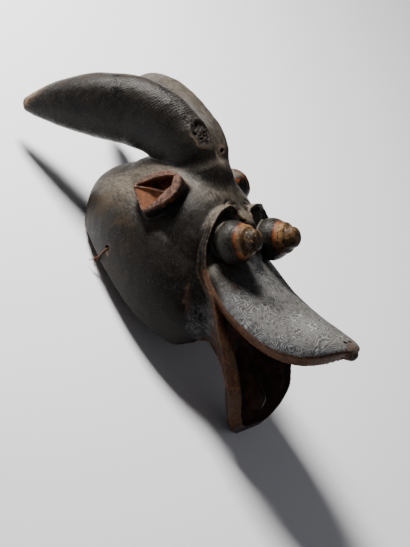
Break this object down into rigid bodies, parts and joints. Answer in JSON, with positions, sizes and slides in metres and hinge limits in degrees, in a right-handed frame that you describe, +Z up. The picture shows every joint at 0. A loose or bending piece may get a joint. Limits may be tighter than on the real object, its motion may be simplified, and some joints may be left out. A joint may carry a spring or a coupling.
{
  "type": "helmet mask",
  "caption": "Carved wooden helmet mask: a hollow dome with an animal's face, tubular eyes, cupped ears, swept-back horns and wide open jaws, and a fibre tie at the rim.",
  "frame": {"origin": "middle of the part's bounding box, on the surface it rests on", "axes": "+Z up as it rests on the back of the rim and the tip of the lower jaw, -Y towards the face and the jaws, +X towards the mask's own left"},
  "size_m": [0.2158, 0.5102, 0.205],
  "materials": {
    "carved_wood": "near-black brown patina, hand-worked, worn red-brown on the edges of the jaws and in the ears",
    "plant_fibre": "dark red-brown twisted strand"
  },
  "bodies": {
    "root": {"mask": "carved_wood", "rim_tie": "plant_fibre"}
  },
  "joints": []
}
